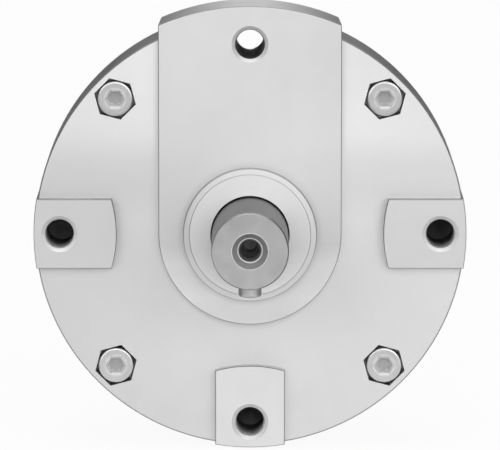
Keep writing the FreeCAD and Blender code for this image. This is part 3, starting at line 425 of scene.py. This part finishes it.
# Rear housing. The second casting, left with its casting skin, which closes the chamber. Four screws in its
# ears hold it to the front housing, and two air ports with tapped threads stand on top.
SKIN_GREY = grey(0.62)
SKIN_LIGHT = grey(0.7)
PORT_PITCH = 0.000907
PORT_RIDGE = 0.0005
skin = Finish("casting_skin", metallic=1, roughness=0.5)
skin.tones(skin.noise(scale=70, detail=5), SKIN_GREY, SKIN_LIGHT)
skin.gloss(skin.noise(scale=160, detail=3), smooth=0.44, rough=0.56)
skin.relief(skin.noise(scale=1500, detail=3), depth=0.00005, strength=0.4, edge=0.0007)
# Painted shade in the slits and inner angles of the skin.
skin.corners(reach=0.003, darkest=0.7, closed=0.2, opened=0.75)
skin.put_on("rear_housing")
for name in ("port_left", "port_right"):
    port = mounts[name]
    port_depth = port["dims"]["length_mm"] / 1000
    port_radius = port["dims"]["r_mm"] / 1000
    foot = Vector(port["pos_m"]) - Vector((0, 0, port_depth / 2))
    thread = helical_ridge(f"{name}_thread", foot, (0, 0, 1), port_depth, port_radius,
                           PORT_RIDGE, PORT_PITCH, tapped)
    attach(thread, "housing")

# Seals, buffers and gasket. Moulded black rubber with a dull skin. The shaft seals are pressed into bores,
# and the others lie round the vane, in the stator shoe and between the two housings.
RUBBER_BLACK = grey(0.018)
RUBBER_GREY = grey(0.03)
rubber = Finish("moulded_rubber", metallic=0, roughness=0.6)
rubber.tones(rubber.noise(scale=300, detail=3), RUBBER_BLACK, RUBBER_GREY)
rubber.relief(rubber.noise(scale=3000), depth=0.00002)
rubber.put_on("housing_gasket", "front_shaft_seal", "rear_shaft_seal")
rubber.put_on("stator_seal", "stop_buffers", "vane_seal")

# Bearings. Deep groove bearings with hardened rings and balls, ground and polished, and a dark moulded cage
# that spaces the balls. They are pressed on the shaft and into the two housings.
BEARING_GREY = grey(0.58)
BEARING_LIGHT = grey(0.64)
CAGE_DARK = (0.03, 0.028, 0.025, 1)
CAGE_BROWN = (0.05, 0.047, 0.042, 1)
polished = Finish("polished_steel", metallic=1, roughness=0.15)
polished.tones(polished.noise(scale=500), BEARING_GREY, BEARING_LIGHT)
polished.gloss(polished.noise(scale=900), smooth=0.1, rough=0.2)
# Painted shade in the slits between the rings and balls.
polished.corners(reach=0.002, closed=0.2, opened=0.6)
cage_plastic = Finish("cage_plastic", metallic=0, roughness=0.45)
cage_plastic.tones(cage_plastic.noise(scale=400), CAGE_DARK, CAGE_BROWN)
cage_plastic.relief(cage_plastic.noise(scale=2500), depth=0.00002)
for end in ("front", "rear"):
    polished.put_on(f"{end}_bearing_outer_ring", f"{end}_bearing_inner_ring", f"{end}_bearing_balls")
    cage_plastic.put_on(f"{end}_bearing_cage")

# Retaining rings and dowels. Oiled spring steel. The rings are stamped and snap into grooves behind the rear
# bearing, and the dowels are ground pins that hold the stator shoe to the walls of the chamber.
SPRING_DARK = (0.09, 0.085, 0.08, 1)
SPRING_GREY = (0.14, 0.135, 0.13, 1)
spring = Finish("oiled_spring_steel", metallic=1, roughness=0.4)
spring.tones(spring.noise(scale=350, detail=3), SPRING_DARK, SPRING_GREY)
spring.relief(spring.noise(scale=1800), depth=0.00001)
spring.put_on("bore_retaining_ring", "shaft_retaining_ring", "stator_dowels")

# Vane and stator shoe. Blocks of aluminium, milled with straight tool marks along the shaft. The vane is
# keyed to the shaft and swings with it, and the shoe is pinned at the top of the chamber.
MILLED_GREY = grey(0.66)
MILLED_LIGHT = grey(0.72)
milled = Finish("milled_aluminium", metallic=1, roughness=0.35)
milled.tones(milled.noise(scale=120, detail=3), MILLED_GREY, MILLED_LIGHT)
milled.relief(milled.noise(scale=900, stretch=(1, 0.03, 1)), depth=0.00001, strength=0.5)
milled.put_on("vane", "stator_shoe")

# Drive shaft. Steel, ground to a dull finish round its length, which turns in the two bearings. Its end face
# and the tapped centre hole are cut bright on a lathe, and the sharp rims of the hole carry painted
# highlights.
SHAFT_GREY = grey(0.355)
SHAFT_LIGHT = grey(0.395)
SHAFT_GLINT = grey(0.38)
SHADE_AND_STREAK_DARK = grey(0.145)
END_GREY = grey(0.69)
CENTRE_GREY = grey(0.44)
CENTRE_BORE_SHADE = grey(0.1)
OUTER_LIP_HIGHLIGHT = grey(0.8)
CENTRE_HIGHLIGHT = grey(0.97)
CENTRE_METALLIC = 0.35
END_CHAMFER = 0.00035
CENTRE_RIM = 0.0046
CENTRE_NECK = 0.00315
CENTRE_PITCH = 0.001
CENTRE_RIDGE = 0.0003
LIP_WIDTH = 0.00015
LIP_EDGE = LIP_WIDTH / 3
# Depths behind the tip, then places on its face: from where, to where, and how soft or how strong.
END_FACE = (END_CHAMFER * 0.05, END_CHAMFER * 0.1)
CHAMFER_LINE = (END_CHAMFER * 0.1, END_CHAMFER, END_CHAMFER * 0.05)
CENTRE_HOLE = (0.02, 0.021)
CENTRE_FLOOR = (0.0155, 0.03, 0.0005)
CENTRE_MOUTH = (CENTRE_RIM + LIP_WIDTH, CENTRE_RIM + LIP_WIDTH * 1.3)
FACE_TOP_SHADE = (0.002, 0.008, 0.13)
LOW_RIGHT_SLOPE = -0.7
LOW_RIGHT = (-0.006, 0.006, 0.35, 1)
BESIDE_KEY = (0.0017, 0.003, 0.3, 1)
ABOVE_KEY = (0, 0.001)
STREAK_TONES = (0.4, 0.6, 0.4)
centre = mounts["shaft_end_thread"]
centre_depth = centre["dims"]["length_mm"] / 1000
centre_bore = centre["dims"]["r_mm"] / 1000
ground = Finish("ground_shaft", metallic=1, roughness=0.22)
ground.tones(ground.noise(scale=220, detail=3), SHAFT_GREY, SHAFT_LIGHT)
ground.gloss(ground.noise(scale=500), smooth=0.2, rough=0.26)
ground.relief(ground.noise(scale=1, detail=3, stretch=(20, 5000, 20)), depth=0.000006, strength=0.5)
ground.turned(stretch=0.15)
ground.shader.inputs["Specular Tint"].default_value = SHAFT_GLINT
# Painted shade in slits and inner angles, such as round the root of the shaft at the bearing cap.
ground.corners(reach=0.003, closed=0.1)
from_tip = ground.math("SUBTRACT", ground.along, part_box("drive_shaft")[0].y)
ground.tint(END_GREY, ground.fall(from_tip, *END_FACE))
# Painted shade over the upper part of the end face.
ground.tint(BLACK, ground.fall(from_tip, 0, END_CHAMFER * 0.1), ground.rise(ground.level, *FACE_TOP_SHADE))
# The chamfer of the tip is painted with shade, darkest at the lower right, and lighter where the key passes
# under it.
chamfer = ground.between(from_tip, *CHAMFER_LINE)
low_right = ground.math("MULTIPLY_ADD", ground.level, LOW_RIGHT_SLOPE, ground.across)
beside_key = ground.ramp(ground.math("ABSOLUTE", ground.across), *BESIDE_KEY)
off_key = ground.math("MAXIMUM", beside_key, ground.rise(ground.level, *ABOVE_KEY))
ground.tint(SHADE_AND_STREAK_DARK, chamfer, ground.ramp(low_right, *LOW_RIGHT), off_key)
# The centre hole has a grey cone between two lips with painted highlights, a bore painted dark as shade and
# a floor painted light.
near_tip = ground.fall(from_tip, *CENTRE_HOLE)
in_mouth = ground.product(ground.fall(ground.radius, *CENTRE_MOUTH), near_tip)
ground.metal(ground.math("MAXIMUM", chamfer, in_mouth), 0, 1, 1, CENTRE_METALLIC)
for ring, colour in ((CENTRE_RIM + LIP_WIDTH, OUTER_LIP_HIGHLIGHT), (CENTRE_RIM, CENTRE_GREY),
                     (CENTRE_NECK + LIP_WIDTH, CENTRE_HIGHLIGHT), (CENTRE_NECK - LIP_WIDTH, CENTRE_BORE_SHADE)):
    ground.tint(colour, ground.fall(ground.radius, ring, ring + LIP_EDGE), near_tip)
ground.tint(CENTRE_HIGHLIGHT, ground.between(from_tip, *CENTRE_FLOOR),
            ground.fall(ground.radius, CENTRE_NECK, CENTRE_RIM))
ground.tint(SHADE_AND_STREAK_DARK, ground.rise(ground.rings(scale=7000), *STREAK_TONES),
            ground.between(ground.radius, CENTRE_NECK, CENTRE_RIM, LIP_WIDTH))
ground.put_on("drive_shaft")
foot = Vector(centre["pos_m"]) - Vector((0, centre_depth / 2, 0))
thread = helical_ridge("shaft_end_thread", foot, (0, 1, 0), centre_depth, centre_bore,
                       CENTRE_RIDGE, CENTRE_PITCH, ground)
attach(thread, "rotor")

# Keys. Drawn steel bar with round ends and fine lines along it, with painted shade along its edges. One is
# pressed into the slot at the front end of the shaft, and the other holds the vane on it.
KEY_GREY = grey(0.58)
KEY_LIGHT = grey(0.64)
KEY_SIDES = (0.00145, 0.00235, 0.9)
KEY_EDGE = 0.0006
drawn = Finish("drawn_key_steel", metallic=1, roughness=0.35)
drawn.tones(drawn.noise(scale=300, detail=3), KEY_GREY, KEY_LIGHT)
drawn.relief(drawn.noise(scale=1, detail=3, stretch=(6000, 60, 6000)), depth=0.000006, strength=0.5)
key_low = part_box("feather_key")[0].z
key_side_shade = drawn.rise(drawn.math("ABSOLUTE", drawn.across), *KEY_SIDES)
key_edge_shade = drawn.fall(drawn.level, key_low, key_low + KEY_EDGE)
drawn.tint(SHADE_AND_STREAK_DARK, drawn.math("MAXIMUM", key_side_shade, key_edge_shade))
# Painted shade in the inner angles of the keys.
drawn.corners(reach=0.0015)
drawn.put_on("feather_key", "vane_key")

# Bearing caps. Aluminium rings, turned with fine marks from the lathe. They are pressed in round the shaft,
# where they close the bores of the two bearings.
CAP_GREY = grey(0.75)
CAP_LIGHT = grey(0.79)
CAP_GLEAM = (-0.015, -0.004, 0.7)
cap = Finish("turned_aluminium", metallic=1, roughness=0.5)
cap.tones(cap.rings(scale=6000), CAP_GREY, CAP_LIGHT)
cap.gloss(cap.noise(scale=400), smooth=0.47, rough=0.55)
# Painted light on the lower part of each cap.
cap.tint(PAINTED_LIGHT, cap.fall(cap.level, *CAP_GLEAM))
cap.turned(stretch=0.35)
# Painted shade in the slits and inner angles of the caps.
cap.corners(reach=0.0008)
cap.put_on("front_bearing_cap", "rear_bearing_cap")

# Housing screws and nuts. Zinc plated steel, with turned heads and pressed hexagon sockets. The heads sit in
# pockets of the front housing, and the nuts behind the rear one clamp the two halves together.
ZINC_GREY = (0.57, 0.57, 0.575, 1)
ZINC_LIGHT = (0.61, 0.61, 0.615, 1)
SOCKET_PAINTED_LIGHT = (0.68, 0.68, 0.685, 1)
SOCKET_FLOOR_SHADE = (0.4, 0.4, 0.405, 1)
SOCKET_METALLIC = 0.45
SOCKET_EDGE = (0.0029, 0.003)
SOCKET_FLOOR = (0.0015, 0.0017)
HEAD_RADIUS = 0.0047
screw_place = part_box("housing_screws")[1].x - HEAD_RADIUS
zinc = Finish("zinc_plate", metallic=1, roughness=0.3)
zinc.tones(zinc.noise(scale=250, detail=3), ZINC_GREY, ZINC_LIGHT)
zinc.gloss(zinc.noise(scale=600), smooth=0.3, rough=0.36)
from_screw = zinc.length(*(zinc.math("SUBTRACT", zinc.math("ABSOLUTE", place), screw_place)
                           for place in (zinc.across, zinc.level)))
zinc.metal(from_screw, *SOCKET_EDGE, SOCKET_METALLIC, 1)
# Painted light on the walls of each socket, and painted shade on its floor.
zinc.tint(SOCKET_PAINTED_LIGHT, zinc.fall(from_screw, *SOCKET_EDGE))
zinc.tint(SOCKET_FLOOR_SHADE, zinc.fall(from_screw, *SOCKET_FLOOR))
zinc.put_on("housing_screws", "housing_nuts")

# Floor. A wide sheet of white paper, laid just clear of the part and shaded some way in front of it. The rest
# shows as white to the camera and in reflections, and keeps a little of the part's shadow.
PAPER_GREY = 0.5
PAPER_WHITE = 0.85
FLOOR_GLOW = 0.93
FLOOR_SHADED = 0.05
FLOOR_SHADE = (-0.2, -0.02)
FLOOR_DROP = 0.0005
FLOOR_HALF = 20
floor_corners = [(FLOOR_HALF * x, FLOOR_HALF * y, 0) for x, y in ((-1, -1), (1, -1), (1, 1), (-1, 1))]
floor_mesh = bpy.data.meshes.new("floor")
floor_mesh.from_pydata(floor_corners, [], [(0, 1, 2, 3)])
floor = bpy.data.objects.new("floor", floor_mesh)
floor.location.z = cad_box[0].z - FLOOR_DROP
bpy.context.scene.collection.objects.link(floor)
floor_finish = bpy.data.materials.new("white_paper")
floor_finish.use_nodes = True
paper = Nodes(floor_finish.node_tree)
paper.tree.nodes.clear()
paint = paper.node("ShaderNodeBsdfDiffuse")
glow = paper.node("ShaderNodeEmission")
rays = paper.node("ShaderNodeLightPath").outputs
seen = paper.math("MAXIMUM", paper.math("MAXIMUM", rays["Is Camera Ray"], rays["Is Glossy Ray"]),
                  rays["Is Transmission Ray"])
floor_along = paper.axes(paper.node("ShaderNodeTexCoord").outputs["Object"])[1]
white = paper.ramp(floor_along, *FLOOR_SHADE, FLOOR_SHADED, FLOOR_GLOW, "SMOOTHSTEP")
paper.link(paper.ramp(floor_along, *FLOOR_SHADE, PAPER_GREY, PAPER_WHITE, "SMOOTHSTEP"),
           paint.inputs["Color"])
both = paper.node("ShaderNodeMixShader")
paper.link(paper.product(seen, white), both.inputs["Fac"])
paper.link(paint.outputs["BSDF"], both.inputs[1])
paper.link(glow.outputs["Emission"], both.inputs[2])
paper.link(both.outputs["Shader"], paper.node("ShaderNodeOutputMaterial").inputs["Surface"])
floor_mesh.materials.append(floor_finish)

# Room and lamps. The room is dim, with a bright front wall, brighter to the right, and a bright ceiling.
# Three soft lamps stand high in front of the part, and a long one high behind it.
WHITE = grey(1)
FRONT_WALL = (-0.45, -0.9, 0.05, 1.6)
RIGHT_SIDE = (-0.2, 0.2, 0.85, 1.25)
CEILING = (0.75, 0.97, 0, 1.8)
world = bpy.data.worlds.new("studio_room")
bpy.context.scene.world = world
world.use_nodes = True
room = Nodes(world.node_tree)
room_across, room_along, room_up = room.axes(room.node("ShaderNodeTexCoord").outputs["Generated"])
front_wall = room.product(room.ramp(room_along, *FRONT_WALL, "SMOOTHSTEP"),
                          room.ramp(room_across, *RIGHT_SIDE, "SMOOTHSTEP"))
backdrop = room.tree.nodes["Background"]
backdrop.inputs["Color"].default_value = WHITE
room.link(room.total(front_wall, room.ramp(room_up, *CEILING, "SMOOTHSTEP")), backdrop.inputs["Strength"])


def soft_lamp(name, place, width, height, power):
    """An oval lamp that faces the part."""
    lamp = bpy.data.lights.new(name, "AREA")
    lamp.shape = "ELLIPSE"
    lamp.size = width
    lamp.size_y = height
    lamp.energy = power
    holder = bpy.data.objects.new(name, lamp)
    holder.location = place
    holder.rotation_mode = "QUATERNION"
    holder.rotation_quaternion = (-Vector(place)).to_track_quat("-Z", "Y")
    bpy.context.scene.collection.objects.link(holder)


soft_lamp("front_left", place=(-1.2, -1.5, 0.95), width=1.2, height=1.2, power=6.5)
soft_lamp("front_right", place=(1.2, -1.5, 0.95), width=1.2, height=1.2, power=6.5)
soft_lamp("front_middle", place=(0, -1.8, 0.85), width=0.8, height=0.8, power=2.4)
soft_lamp("back_high", place=(0, 1.8, 0.9), width=1.6, height=0.5, power=1.5)

# Camera. A long lens on the middle plane of the part, ahead of the shaft and a little above it. It is tilted
# down to the shaft axis and has no shift.
LENS = 362.1
SENSOR_WIDTH = 36
FAR_END = 50
CAMERA_AHEAD = 1.307
CAMERA_RISE = 0.180
PITCH_DOWN = math.radians(7.737)
camera = bpy.data.cameras.new("camera")
camera.lens = LENS
camera.sensor_width = SENSOR_WIDTH
camera.clip_end = FAR_END
viewer = bpy.data.objects.new("camera", camera)
viewer.location = (0, -CAMERA_AHEAD, CAMERA_RISE)
viewer.rotation_euler = (math.pi / 2 - PITCH_DOWN, 0, 0)
bpy.context.scene.collection.objects.link(viewer)
bpy.context.scene.camera = viewer
bpy.context.scene.view_settings.view_transform = "Standard"
